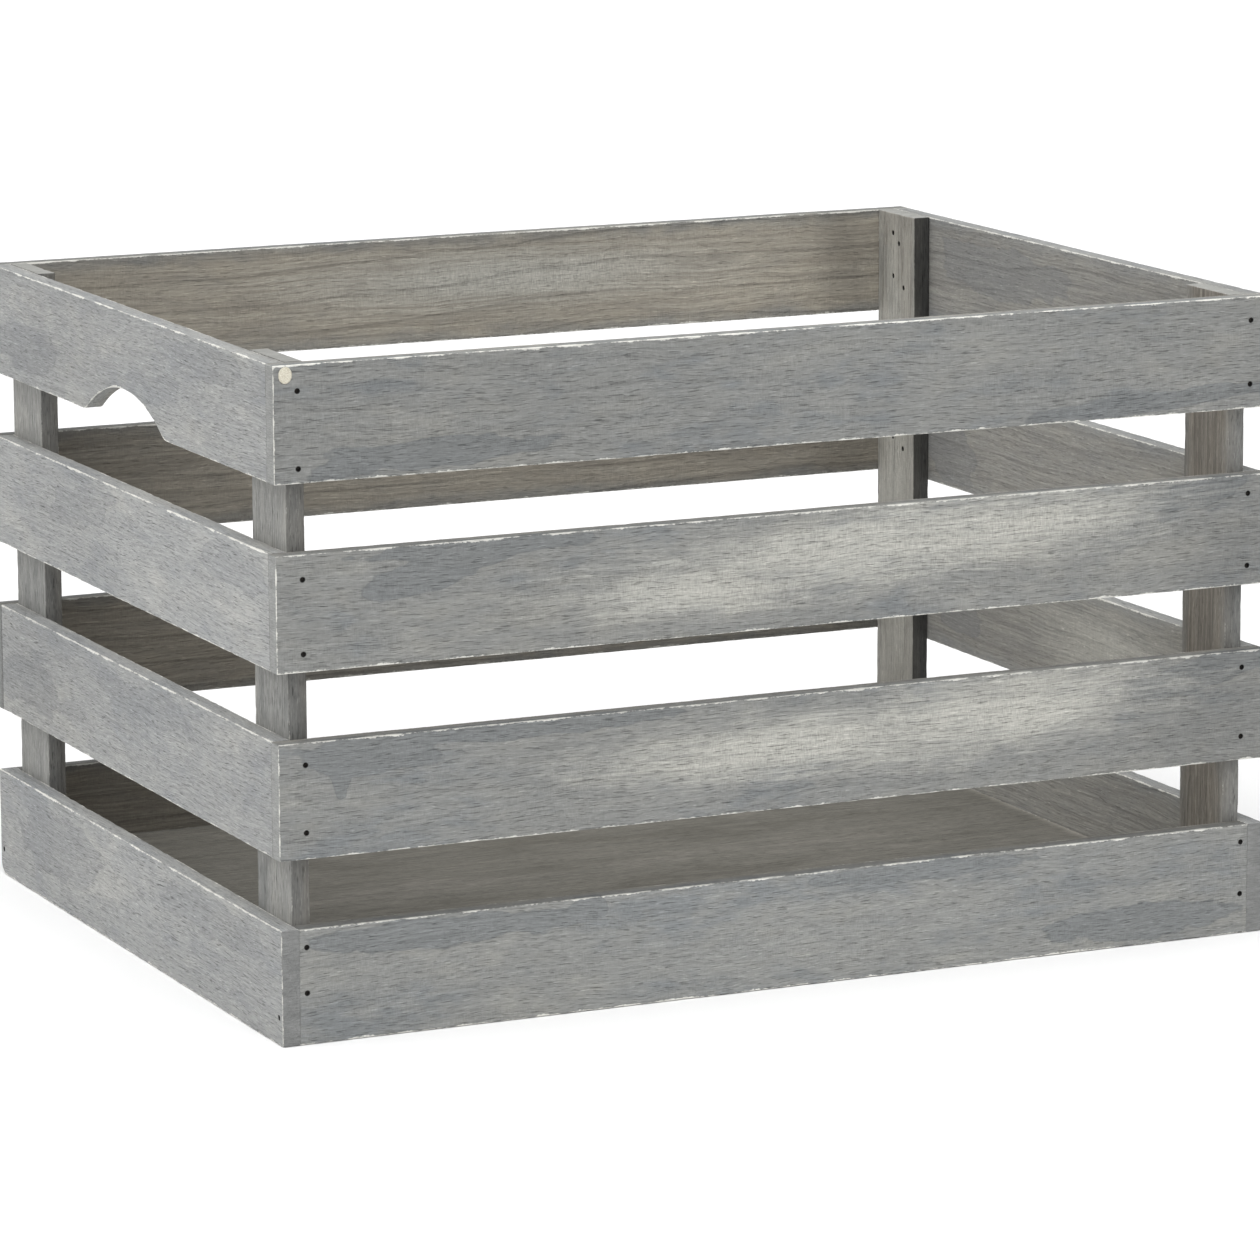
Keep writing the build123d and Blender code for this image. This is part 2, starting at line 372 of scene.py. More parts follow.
class Board:
    """A wooden board in the place of a CAD node. lap says that its ends show."""

    def __init__(self, node, along, out, lap, seed):
        self.node, self.seed, self.lap = node, seed, lap
        self.notch = self.arch = self.corner = None
        self.holes = []
        low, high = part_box(node)
        self.turn = np.array([along, out.cross(along), out])
        self.middle = np.array((low + high) / 2) * MM
        self.half = np.abs(self.turn @ np.array(high - low)) * MM / 2
        # how dark its tight joints are, which side is the bare inner one, and which one is seen
        self.seam = 0.05 if node.endswith("slat_4") else 0.4
        self.inner = -1
        if node.endswith("batten"):
            self.inner = 1
        elif node == "floor_panel":
            self.inner = 0
        self.patched = -1 if node.startswith(("right_end", "back_slat")) else 1

    def local(self, point):
        return self.turn @ (np.array(point) - self.middle)

    def take_brads(self, brads):
        """Holes for all the brads that enter or pass through this board."""
        for *places, head_radius, shank_radius in brads:
            outer, neck, tip = (self.local(place) for place in places)
            axis = int(np.argmax(np.abs(tip - outer)))
            flat = others(axis)
            way = 1 if tip[axis] > outer[axis] else -1
            half = self.half[axis]
            if any(abs(outer[a]) > self.half[a] - BORE_LEAST for a in flat):
                continue
            start, end = outer[axis] * way, tip[axis] * way
            if min(end, half) - max(start, -half) < BORE_LEAST:
                continue
            through = end > half
            steps = [(shank_radius + BORE_ROOM, half if through else end)]
            if start > -half:
                steps.insert(0, (head_radius + BORE_ROOM, neck[axis] * way))
            self.holes.append(Hole(axis, -way, tuple(outer[flat]), (1.0, 1.0), steps, through))

    def close_spots(self):
        """Where the lattice lines have to be close, as (middle, reach) pairs for each axis."""
        spots = [[], [], []]
        for hole in self.holes:
            for a, middle, stretch in zip(others(hole.axis), hole.at, hole.stretch):
                spots[a].append((middle, patch_reach(hole.steps[0][0], stretch)))
        if self.arch:
            spots[U] += [(side * self.arch[0] / 2, ARCH_PATCH) for side in (-1, 1)]
        if self.notch:
            for a in (U, V):
                spots[a] += [(side * self.notch[a], NOTCH_PATCH) for side in (-1, 1)]
        return spots

    def lattice(self):
        """Points and faces of the board before it is worn, with its holes."""
        spots = self.close_spots()
        lines = [grid_lines(self.half[a], SPACING[a], spots[a]) for a in range(3)]
        count = [len(line) for line in lines]
        solid = np.ones((count[U] - 1, count[V] - 1), bool)
        if self.notch:
            mids = [np.abs(line[1:] + line[:-1]) / 2 for line in lines[:2]]
            solid = ~((mids[U][:, None] > self.notch[U]) & (mids[V][None] > self.notch[V]))
        quads, places = skin(solid, count)

        # square patches taken out for the holes, each with its rim as pairs of lattice lines
        cut = np.zeros(len(quads), bool)
        rims = []
        for hole in self.holes:
            span = []
            for a, middle, stretch in zip(others(hole.axis), hole.at, hole.stretch):
                reach = patch_reach(hole.steps[0][0], stretch)
                ends = [np.abs(lines[a] - middle - side * reach) for side in (-1, 1)]
                span.append([int(np.argmin(end)) for end in ends])
            (b0, b1), (c0, c1) = span
            for face in ([hole.side, -hole.side] if hole.through else [hole.side]):
                line = count[hole.axis] - 1 if face > 0 else 0
                cut |= (
                    (places[:, 0] == hole.axis) & (places[:, 1] == line)
                    & (places[:, 2] >= b0) & (places[:, 2] < b1)
                    & (places[:, 3] >= c0) & (places[:, 3] < c1)
                )
            rim = [(b, c0) for b in range(b0, b1)] + [(b1, c) for c in range(c0, c1)]
            rim += [(b, c1) for b in range(b1, b0, -1)] + [(b0, c) for c in range(c1, c0, -1)]
            rims.append(rim)
        quads = quads[~cut]

        used, index = np.unique(quads, return_inverse=True)
        faces = index.reshape(quads.shape).tolist()
        where = (used // (count[V] * count[W]), used // count[W] % count[V], used % count[W])
        points = np.stack([lines[a][where[a]] for a in range(3)], 1)
        number = {int(key): n for n, key in enumerate(used)}
        new_points = []
        self.dark_points, self.halo_points = [], []
        for hole, rim in zip(self.holes, rims):
            self.bore(hole, rim, lines, number, len(points), new_points, faces)
        if new_points:
            points = np.concatenate([points, np.array(new_points)])
        return points, faces

    def bore(self, hole, rim, lines, number, first_new, new_points, faces):
        """Adds the points and faces of one hole, from the rim of its patch to its bottom."""
        axis, side, at, stretch, steps, through = hole
        flat = others(axis)
        count = [len(line) for line in lines]
        around = len(rim)
        away = [[lines[a][n] - place for a, n, place in zip(flat, pair, at)] for pair in rim]
        away = np.array(away)
        away /= np.hypot(*away.T)[:, None]

        def on_face(face):
            line = count[axis] - 1 if face > 0 else 0
            return [number[point_key(with_axis(pair, axis, line), count)] for pair in rim]

        def circle(radius, level):
            """A ring of new points round the hole, at a level along the way in."""
            start = first_new + len(new_points)
            for way in away:
                spot = [place + d * radius * s for place, d, s in zip(at, way, stretch)]
                new_points.append(with_axis(spot, axis, -side * level))
            return list(range(start, start + around))

        top = -self.half[axis]
        mouth = steps[0][0]
        rings = [on_face(side)]
        if mouth < BRAD_HOLE:
            rings.append(circle(mouth + HALO, top))
            rings.append(circle(mouth + CHIPPED, top))
            self.halo_points += rings[-1]
            rings.append(circle(mouth, top + CHIPPED))
        else:
            rings += [circle(mouth + PLUG_BREAK, top), circle(mouth, top + PLUG_BREAK)]
        walls = [circle(mouth, steps[0][1])]
        for (_, last_level), (radius, level) in zip(steps, steps[1:]):
            walls += [circle(radius, last_level), circle(radius, level)]
        # painted shade on the lower rim and walls of a brad hole
        if mouth < BRAD_HOLE:
            self.dark_points += [n for ring in [rings[-1], *walls] for n in ring]
        rings += walls
        if through:
            rings.append(on_face(-side))
        flip = (side > 0) == (axis == 1)
        for outer, inner in zip(rings, rings[1:]):
            for n in range(around):
                m = (n + 1) % around
                quad = [outer[n], outer[m], inner[m], inner[n]]
                faces.append(quad[::-1] if flip else quad)
        if not through:
            cap = first_new + len(new_points)
            new_points.append(with_axis(at, axis, -side * (steps[-1][1] + BORE_TIP)))
            last = rings[-1]
            for n in range(around):
                tri = [last[n], last[(n + 1) % around], cap]
                faces.append(tri[::-1] if flip else tri)

    def edges(self):
        """The board's twelve edges: axis it runs along, the two other axes, their signs, state."""
        for run in range(3):
            for signs in ((-1, -1), (-1, 1), (1, -1), (1, 1)):
                state = "tight"
                if run == U or self.lap and run == V and signs[1] > 0:
                    state = "worn"
                elif self.lap and run == W:
                    state = "plain"
                yield run, others(run), signs, state

    def wear(self, points):
        """Rounds and chips the edges. Gives the points, and how far each was from a worn and a
        tight edge."""
        rng = np.random.default_rng(self.seed)
        weight = np.full(len(points), FAR_WEIGHT)
        radius = np.full(len(points), FAR_RADIUS * FAR_WEIGHT)
        worn_far = np.full(len(points), FAR)
        tight_far = np.full(len(points), FAR)
        for run, flat, signs, state in self.edges():
            along, half = points[:, run], self.half[run]
            far = np.hypot(*(self.half[a] - s * points[:, a] for a, s in zip(flat, signs)))
            ripple = Ripple(rng.integers(1 << 30))
            mean, waves = EDGE_RADII[state]
            here = np.full(len(points), mean)
            for swing, length, row in waves:
                here += swing * ripple(along / length, row)
            if state == "worn":
                for _ in range(int(half * 2 / CHIP_SPACING) + 1):
                    at, reach = rng.uniform(-half, half), rng.uniform(*CHIP_REACH)
                    depth = rng.uniform(*CHIP_DEPTH) ** CHIP_SKEW
                    fall = np.abs((along - at) / reach) ** CHIP_PROFILE
                    here = here + depth * np.clip(1 - fall, 0, None)
                worn_far = np.minimum(worn_far, far * (CROSS_EDGE if run == V else 1.0))
            elif state == "tight":
                tight_far = np.minimum(tight_far, far)
            close = np.exp(-((far / EDGE_BLEND) ** 2)) + 1e-12
            weight += close
            radius += close * np.clip(here, *RADIUS_LIMITS)
        radius /= weight
        worn_far[self.halo_points] = HALO_WEAR
        kept = self.half - radius[:, None]
        over = np.clip(np.abs(points) - kept, 0, None)
        size = np.sqrt((over**2).sum(1))
        shrink = np.where(size > radius, radius / np.maximum(size, 1e-9), 1.0)
        moved = np.where(over > 0, kept + over * shrink[:, None], np.abs(points))
        return np.sign(points) * moved, worn_far, tight_far

    def shape(self, points):
        """Gentle unevenness of the faces, the hand hold and a knocked-off corner."""
        u, v, w = points.T.copy()
        half_u, half_v, half_w = self.half
        ripples = [Ripple(self.seed * 7 + n) for n in range(4)]
        for side, face, edge in ((-1, ripples[0], ripples[2]), (1, ripples[1], ripples[3])):
            deep = hollow(face, ((0.09, u / 33, v / 13), (0.03, u / 7, v / 3.1)))
            w = np.where(w * side > 0, w * (1 - deep / half_w), w)
            deep = hollow(edge, ((0.16, u / 41, 3.3), (0.05, u / 9, w / 4)))
            v = np.where(v * side > 0, v * (1 - deep / half_v), v)
        if self.arch:
            span, rise = self.arch
            big = (span * span / 4 + rise * rise) / (2 * rise)
            inside = np.sqrt(np.clip(big**2 - u**2, 0, None)) - (big - rise)
            beyond = -(np.abs(u) - span / 2) * span / 2 / (big - rise)
            height = np.where(np.abs(u) < span / 2, inside, beyond)
            lift = (height + np.sqrt(height**2 + ARCH_SOFT**2)) / 2
            lift = lift * np.clip((span / 2 + ARCH_BEYOND - np.abs(u)) / ARCH_FADE, 0, 1)
            t = np.clip((v + half_v) / (2 * half_v), 0, 1)
            v = v + lift * (1 - t * t * (3 - 2 * t))
        if self.corner:
            radius, (su, sv) = self.corner
            a, b = u * su - (half_u - radius), v * sv - (half_v - radius)
            inside = (a > 0) & (b > 0)
            pull = np.maximum(a, b) / np.maximum(np.hypot(a, b), 1e-9)
            pull = np.where(inside, pull, 1.0)
            u = np.where(inside, su * (half_u - radius + a * pull), u)
            v = np.where(inside, sv * (half_v - radius + b * pull), v)
        return np.stack([u, v, w], 1)

    def patch_field(self, table, points):
        """Highest of the patches' domes at each point of the seen side: 1 in the middle of one,
        0 on its outline."""
        field = np.full(len(points), NO_PATCH)
        for u, v, long, high, turn in table.get(self.node, ()):
            c, s = math.cos(math.radians(turn)), math.sin(math.radians(turn))
            du, dv = points[:, U] - u, points[:, V] - v
            reach = np.hypot((du * c + dv * s) / long, (dv * c - du * s) / high)
            field = np.maximum(field, 1 - reach)
        return np.where(points[:, W] * self.patched > 0, field, NO_PATCH)

    def shades(self, flat, points, rng):
        """Share of the light at each point, painted into the colour: the board's tone, painted
        shade in its bores, the painted light, shade and tone of its sides, and soft patches of
        painted shade and tone.
        """
        shown = np.clip(0.5 + points[:, W] * self.patched / (2 * self.half[W]), 0, 1)
        shade = 1 + (TONES.get(self.node, 1.0) - 1) * shown
        shade *= 1 + TONE_SPREAD * rng.uniform(-1, 1)
        shade[self.dark_points] *= BORE_SHADE
        for axis, side, share in SIDE_LIGHT_AND_TONE.get(self.node, ()):
            shade[flat[:, axis] * side > self.half[axis] - SIDE_DEPTH] = share
        for u, v, long, high, share in SHADOW_AND_TONE_PATCHES.get(self.node, ()):
            reach = ((points[:, U] - u) / long) ** 2 + ((points[:, V] - v) / high) ** 2
            shade *= 1 + (share - 1) * np.exp(-reach) * shown
        return shade

    def build(self, material):
        flat, faces = self.lattice()
        worn, worn_far, tight_far = self.wear(flat)
        points = self.shape(worn)
        rng = np.random.default_rng(self.seed + 999)
        shade = self.shades(flat, points, rng)
        seam = np.full(len(points), self.seam)
        end = np.clip((np.abs(flat[:, U]) - self.half[U] + END_DEPTH) / END_DEPTH, 0, 1)
        inner = np.clip((points[:, W] * self.inner + INNER_START) / self.half[W], 0, 1)
        stain, rub = self.patch_field(STAINS, points), self.patch_field(RUBS, points)
        edge_in = self.half[V] - np.abs(points[:, V])
        fields = {
            "grain": points + rng.uniform(*GRAIN_PLACES, 3),
            "near": np.stack([worn_far, tight_far, end], 1),
            "look": np.stack([inner, stain, rub], 1),
            "extra": np.stack([shade, seam, edge_in], 1),
        }
        spots = points @ self.turn + self.middle
        board = make_piece(self.node + "_board", spots, faces, material, fields)
        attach(board, BODY)
        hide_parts(self.node)


class Shade:
    """Adds nodes to one material."""

    def __init__(self, name):
        self.material = bpy.data.materials.new(name)
        self.material.use_nodes = True
        self.tree = self.material.node_tree
        self.tree.nodes.clear()

    def node(self, kind, named=None, out=0, **settings):
        made = self.tree.nodes.new("ShaderNode" + kind)
        for key, value in settings.items():
            setattr(made, key, value)
        for key, value in (named or {}).items():
            socket = made.inputs[key]
            if isinstance(value, bpy.types.NodeSocket):
                self.tree.links.new(value, socket)
            else:
                socket.default_value = value
        return made.outputs[out] if made.outputs else None

    def attribute(self, name):
        return self.node("Attribute", attribute_name=name, out=1)

    def object_place(self):
        return self.node("TexCoord", out=3)

    def split(self, vector):
        first = self.node("SeparateXYZ", {0: vector})
        return [first.node.outputs[n] for n in range(3)]

    def math(self, what, *values):
        return self.node("Math", dict(enumerate(values)), operation=what)

    def add(self, *values):
        total = values[0]
        for value in values[1:]:
            total = self.math("ADD", total, value)
        return total

    def times(self, a, b):
        return self.math("MULTIPLY", a, b)

    def swing(self, value, amount):
        """A noise's swing to both sides of its middle, 0.5, times an amount."""
        return self.times(self.math("SUBTRACT", value, 0.5), amount)

    def scaled(self, vector, *scale):
        return self.node("VectorMath", {0: vector, 1: scale}, operation="MULTIPLY")

    def moved(self, vector, *shift):
        return self.node("VectorMath", {0: vector, 1: shift}, operation="ADD")

    def noise(self, vector, detail=2.0, rough=0.5, bend=0.0):
        named = {
            "Vector": vector, "Scale": 1.0, "Detail": detail, "Roughness": rough,
            "Distortion": bend,
        }
        return self.node("TexNoise", named, noise_dimensions="3D")

    def smooth(self, value, low, high, to_low=0.0, to_high=1.0):
        named = {0: value, 1: low, 2: high, 3: to_low, 4: to_high}
        return self.node("MapRange", named, interpolation_type="SMOOTHSTEP")

    def blend(self, factor, first, second):
        named = {0: factor, 6: first, 7: second}
        return self.node("Mix", named, data_type="RGBA", out=2)

    def fade(self, factor, first, second):
        return self.node("Mix", {0: factor, 2: first, 3: second}, data_type="FLOAT")

    def bright(self, colour, factor):
        colour = colour[:3] if isinstance(colour, tuple) else colour
        return self.node("VectorMath", {0: colour, "Scale": factor}, operation="SCALE")

    def finish(self, colour, roughness, height, depth, specular=0.25, metallic=0.0):
        """The surface, with bumps of a depth in millimetres."""
        bump = self.node("Bump", {"Strength": 1.0, "Distance": depth / MM, "Height": height})
        named = {
            "Base Color": colour, "Roughness": roughness, "Normal": bump,
            "Metallic": metallic, "Specular IOR Level": specular,
        }
        shader = self.node("BsdfPrincipled", named)
        self.node("OutputMaterial", {"Surface": shader})
        return self.material


# Noises of the wood. Each is read over the board (grain) or along its wavy fibres (flow), moved by
# a shift that sets it apart from the others: way, shift, cycles per millimetre along u, v and w,
# detail, roughness, distortion
WOOD_NOISES = {
    "coarse": ("flow", None, (0.018, 0.9, 0.9), 4.0, 0.62),
    "fine": ("flow", None, (0.13, 2.3, 2.3), 4.0, 0.7),
    "pores": ("flow", (31, 5, 9), (0.15, 2.9, 2.9), 1.0),
    "flecks": ("flow", (77, 45, 3), (0.2, 3.1, 3.1), 1.0),
    "cracks": ("flow", (11, 22, 66), (0.014, 1.5, 1.5), 2.0, 0.6),
    "crack area": ("grain", (8, 1, 4), (0.012, 0.05, 0.05), 1.0),
    "cloud": ("grain", None, (0.013, 0.035, 0.035), 3.0, 0.55, 0.4),
    "mottle": ("grain", (5, 50, 8), (0.05, 0.12, 0.12), 3.0, 0.6, 0.3),
    "speckle": ("grain", (15, 3, 80), (0.5, 0.9, 0.9), 2.0, 0.6),
    "shore": ("grain", (60, 7, 21), (0.045, 0.09, 0.09), 3.0, 0.5),
    "saw line": ("grain", None, (1.5, 0.3, 0.3), 3.0, 0.7),
    "saw area": ("grain", (9, 9, 9), (0.02, 0.07, 0.07), 2.0),
    "ring bend": ("grain", None, (0.006, 0.02, 0.02), 2.0),
    "end dashes": ("grain", None, (0.4, 2.7, 0.3), 3.0, 0.65),
    "end bands": ("grain", (2, 2, 2), (0.1, 0.16, 0.1), 2.0),
    "edge": ("grain", (400, 3, 4), (0.09, 0.16, 0.16), 4.0, 0.65),
    "fine edge": ("grain", (4, 300, 4), (0.7, 1.1, 1.1), 3.0, 0.6),
    "dirt": ("grain", None, (0.8, 0.8, 0.8), 2.0),
}
FLOW_SCALE = (0.011, 0.03, 0.03)
FLOW_LEAN = 9.0
RING_PITCH = 14.0
RING_BEND = 22.0
RUBBED_WOOD = rgb(182, 181, 174)
EDGE_WOOD = rgb(228, 227, 220)
DIRT = rgb(58, 55, 52)
WOOD_RELIEF = 0.35


def washed_wood(
    name, wash, raw, end_colour, inner_wash, rings, saw, stains=0.4, fibre=1.0, wear=(3.4, -2.12),
):
    """Grey-washed softwood. wash is (dark, middle, light), raw the wood under it, inner_wash how
    much of the wash the inner side keeps, rings how clear the growth rings are outside and inside,
    saw, stains and fibre how strong those are, wear the swing and start of the pale edges."""
    s = Shade(name)
    grain = s.attribute("grain")
    worn_far, tight_far, end = s.split(s.attribute("near"))
    inner, stain_field, rub_field = s.split(s.attribute("look"))
    shade, seam, edge_in = s.split(s.attribute("extra"))
    grain_u, grain_v, grain_w = s.split(grain)

    # the fibres' way, and the noises
    lean = s.times(s.noise(s.scaled(grain, *FLOW_SCALE)), FLOW_LEAN)
    lean = s.node("CombineXYZ", {0: 0.0, 1: lean, 2: 0.0})
    flow = s.node("VectorMath", {0: grain, 1: lean}, operation="ADD")
    noise = {}
    for kind, (way, shift, scale, *rest) in WOOD_NOISES.items():
        place = flow if way == "flow" else grain
        if shift:
            place = s.moved(place, *shift)
        noise[kind] = s.noise(s.scaled(place, *scale), *rest)
    coarse, fine, mottle, speckle = (noise[k] for k in ("coarse", "fine", "mottle", "speckle"))
    pores = s.smooth(noise["pores"], 0.62, 0.72)
    flecks = s.smooth(noise["flecks"], 0.63, 0.74)

    # rubbed areas, and marks across the grain from the saw, in broken areas
    streaky = s.add(s.math("SUBTRACT", coarse, 0.5), s.swing(mottle, 0.9))
    rub = s.smooth(s.add(rub_field, s.times(streaky, 0.9)), -0.25, 0.95)
    saw_area = s.smooth(noise["saw area"], 0.38, 0.6)
    saw_share = s.add(s.fade(saw_area, 0.2, 0.75), s.times(rub, 0.75))
    saw_mark = s.swing(noise["saw line"], saw_share)

    # growth rings: the board is cut beside the heart, so they run as long, slightly wavy lines
    bent_v = s.add(grain_v, s.times(noise["ring bend"], RING_BEND))
    ring_place = s.add(bent_v, s.times(grain_w, 0.6), s.times(grain_u, 0.02))
    ring_saw = s.math("FRACT", s.times(ring_place, 1 / RING_PITCH))
    ring_line = s.times(s.smooth(ring_saw, 0.84, 0.955), s.smooth(ring_saw, 1.0, 0.97))
    ring_line = s.times(ring_line, s.smooth(fine, 0.3, 0.55))

    # cloudy tone of the wash
    thickness = s.add(s.times(noise["cloud"], 0.62), s.times(mottle, 0.38))
    low, high = s.smooth(thickness, 0.36, 0.5), s.smooth(thickness, 0.5, 0.66)
    colour = s.blend(high, s.blend(low, wash[0], wash[1]), wash[2])

    # inner side: less wash, so the brown of the wood and its rings show, but for the edges
    from_edge = s.smooth(s.add(edge_in, s.times(mottle, 8.0)), 4.0, 11.0, 0.35, 1.0)
    bare = s.times(s.times(inner, 1 - inner_wash), from_edge)
    raw_tone = s.blend(s.smooth(coarse, 0.35, 0.65), raw[0], raw[1])
    colour = s.blend(s.times(bare, s.fade(mottle, 0.55, 1.0)), colour, raw_tone)

    # stained patches with a darker rim
    ragged = s.add(s.swing(noise["shore"], 1.5), s.swing(speckle, 0.12))
    stain_edge = s.add(stain_field, ragged)
    stain = s.smooth(stain_edge, -0.03, 0.06)
    rim = s.times(s.smooth(stain_edge, -0.04, 0.0), s.smooth(stain_edge, 0.09, 0.02))
    colour = s.blend(s.times(stain, stains), colour, s.bright(wash[0], 0.9))
    colour = s.blend(s.times(rim, stains * 0.5), colour, s.bright(wash[0], 0.7))

    # pale wood in streaks where it is rubbed
    colour = s.blend(s.times(rub, 0.85), colour, RUBBED_WOOD)

    # light and dark along the grain, weaker inside
    crack_area = s.smooth(noise["crack area"], 0.5, 0.62)
    cracks = s.times(s.smooth(noise["cracks"], 0.66, 0.7), crack_area)
    cracks = s.times(cracks, s.smooth(fine, 0.42, 0.55))
    calm = s.fade(inner, 1.0, 0.45)
    light = s.add(
        1.0,
        s.times(s.swing(coarse, 0.5 * fibre), calm),
        s.times(s.swing(fine, 1.15 * fibre), calm),
        s.times(s.times(pores, -0.42 * fibre), calm),
        s.times(flecks, 0.4 * fibre),
        s.times(cracks, -0.3),
        s.times(saw_mark, saw),
        s.swing(speckle, 0.22),
        s.times(s.times(ring_line, s.fade(inner, *rings)), -1.0),
    )
    colour = s.bright(colour, light)

    # ends: washed over like the faces beside them, with short level dashes
    end_light = s.add(1.0, s.swing(noise["end dashes"], 1.1), s.swing(noise["end bands"], 0.5))
    colour = s.blend(end, colour, s.bright(end_colour, end_light))

    # worn edges down to pale wood, and dirt in the tight joints
    edge_swing, edge_start = wear
    limit = s.times(noise["edge"], edge_swing)
    limit = s.add(limit, s.times(noise["fine edge"], 1.7), edge_start)
    worn_edge = s.smooth(s.math("SUBTRACT", limit, worn_far), -0.12, 0.28)
    edge_light = s.add(0.75, s.times(fine, 0.5))
    colour = s.blend(s.times(worn_edge, 0.82), colour, s.bright(EDGE_WOOD, edge_light))
    joint = s.times(s.smooth(tight_far, 0.7, 0.1), s.smooth(noise["dirt"], 0.42, 0.56))
    colour = s.blend(s.times(joint, seam), colour, DIRT)
    # painted light and shade, with the boards' tones: the colour times the share of the light
    # worked out for each point
    colour = s.bright(colour, shade)

    height = s.add(
        s.times(coarse, 0.5), s.times(fine, 0.42), s.times(pores, -0.45), s.times(saw_mark, 0.5),
        s.times(mottle, 0.3), s.times(s.times(noise["fine edge"], worn_edge), 0.5),
        s.times(ring_line, 0.15),
    )
    roughness = s.fade(s.smooth(fine, 0.3, 0.7), 0.72, 0.9)
    return s.finish(colour, roughness, height, WOOD_RELIEF)


def brad_steel():
    """Dull, darkened steel with a little rust."""
    s = Shade("brad steel")
    place = s.object_place()
    grime = s.noise(s.scaled(place, 900, 900, 900), 4.0, 0.65)
    spots = s.noise(s.scaled(s.moved(place, 0.3, 0.1, 0.2), 2400, 2400, 2400), 2.0)
    colour = s.blend(s.smooth(grime, 0.4, 0.62), rgb(34, 33, 32), rgb(62, 60, 58))
    colour = s.blend(s.times(s.smooth(spots, 0.55, 0.7), 0.5), colour, rgb(66, 48, 36))
    height = s.add(grime, s.times(spots, 0.4))
    roughness = s.fade(grime, 0.45, 0.75)
    return s.finish(colour, roughness, height, 0.03, specular=0.5, metallic=0.85)


def plug_material():
    """Pale end grain of the corner plug."""
    s = Shade("plug end grain")
    place = s.scaled(s.object_place(), MM, MM, MM)
    dots = s.noise(s.scaled(place, 3.2, 1.0, 3.2), 4.0, 0.7)
    rings = s.noise(s.scaled(place, 0.5, 0.3, 1.6), 2.0, 0.5, 0.5)
    colour = s.blend(s.smooth(dots, 0.4, 0.62), rgb(192, 185, 166), rgb(231, 228, 214))
    colour = s.blend(s.times(s.smooth(rings, 0.5, 0.62), 0.3), colour, rgb(168, 157, 134))
    return s.finish(colour, s.fade(dots, 0.7, 0.9), s.add(dots, rings), 0.15)


# The plug from its back end to the middle of its face, as (share of its radius, depth), and how
# many points go round it, its room in the hole, how far its rim is uneven, and its ends' depths
PLUG_PROFILE = (
    (1.0, 2.9), (1.0, 0.32), (0.985, 0.16), (0.94, 0.06), (0.8, 0.03), (0.5, 0.0), (0.2, 0.02),
)
PLUG_POINTS = 40
PLUG_ROOM = 0.06
PLUG_SUNK = 0.02
PLUG_UNEVEN = 0.03
PLUG_ENDS = (0.05, 2.95)
PLUG_SEED = 77


def make_plug(material):
    """The oval plug: a short dowel end with a softly rounded, slightly uneven rim."""
    low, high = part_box("corner_plug")
    middle, half, front = (low + high) / 2 * MM, (high - low) / 2 * MM, low.y * MM
    ripple = Ripple(PLUG_SEED)
    points, faces = [], []
    for share, depth in PLUG_PROFILE:
        for n in range(PLUG_POINTS):
            turn = 2 * math.pi * n / PLUG_POINTS
            uneven = PLUG_UNEVEN * (1 + float(ripple(n / 3.0, share * 9))) * (share < 0.99)
            points.append((
                middle.x + math.cos(turn) * (half.x - PLUG_ROOM) * share,
                front + PLUG_SUNK + depth + uneven,
                middle.z + math.sin(turn) * (half.z - PLUG_ROOM) * share,
            ))
    points += [(middle.x, front + depth, middle.z) for depth in PLUG_ENDS]
    face_end, back_end = len(points) - 2, len(points) - 1
    last = (len(PLUG_PROFILE) - 1) * PLUG_POINTS
    around = [(n, (n + 1) % PLUG_POINTS) for n in range(PLUG_POINTS)]
    for a in range(0, last, PLUG_POINTS):
        b = a + PLUG_POINTS
        faces += [(a + n, a + m, b + m, b + n) for n, m in around]
    for n, m in around:
        faces += [(last + n, last + m, face_end), (m, n, back_end)]
    plug = make_piece("corner_plug_dowel", points, faces, material)
    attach(plug, BODY)
    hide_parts("corner_plug")


# Materials
slat_wood = washed_wood(
    "washed slat wood",
    wash=(rgb(122, 125, 126), rgb(132, 133, 131), rgb(140, 140, 136)),
    raw=(rgb(158, 149, 134), rgb(182, 174, 158)), end_colour=rgb(150, 151, 149),
    inner_wash=0.2, rings=(0.03, 0.26), saw=0.7, stains=0.8,
)
end_wood = washed_wood(
    "washed end slat wood",
    wash=(rgb(142, 144, 145), rgb(152, 153, 152), rgb(163, 163, 160)),
    raw=(rgb(134, 129, 120), rgb(164, 160, 150)), end_colour=rgb(136, 137, 136),
    inner_wash=0.4, rings=(0.02, 0.16), saw=0.35, stains=0.5, fibre=1.15,
)
batten_wood = washed_wood(
    "batten wood",
    wash=(rgb(128, 129, 127), rgb(147, 147, 144), rgb(163, 162, 157)),
    raw=(rgb(112, 100, 86), rgb(156, 147, 133)), end_colour=rgb(160, 160, 156),
    inner_wash=0.3, rings=(0.1, 0.2), saw=0.15, fibre=1.2, wear=(2.72, -2.32),
)
ply_wood = washed_wood(
    "floor ply",
    wash=(rgb(116, 115, 109), rgb(129, 128, 122), rgb(142, 140, 134)),
    raw=(rgb(106, 99, 87), rgb(134, 126, 111)), end_colour=rgb(120, 112, 100),
    inner_wash=0.2, rings=(0.06, 0.14), saw=0.25, fibre=1.1,
)
steel = brad_steel()

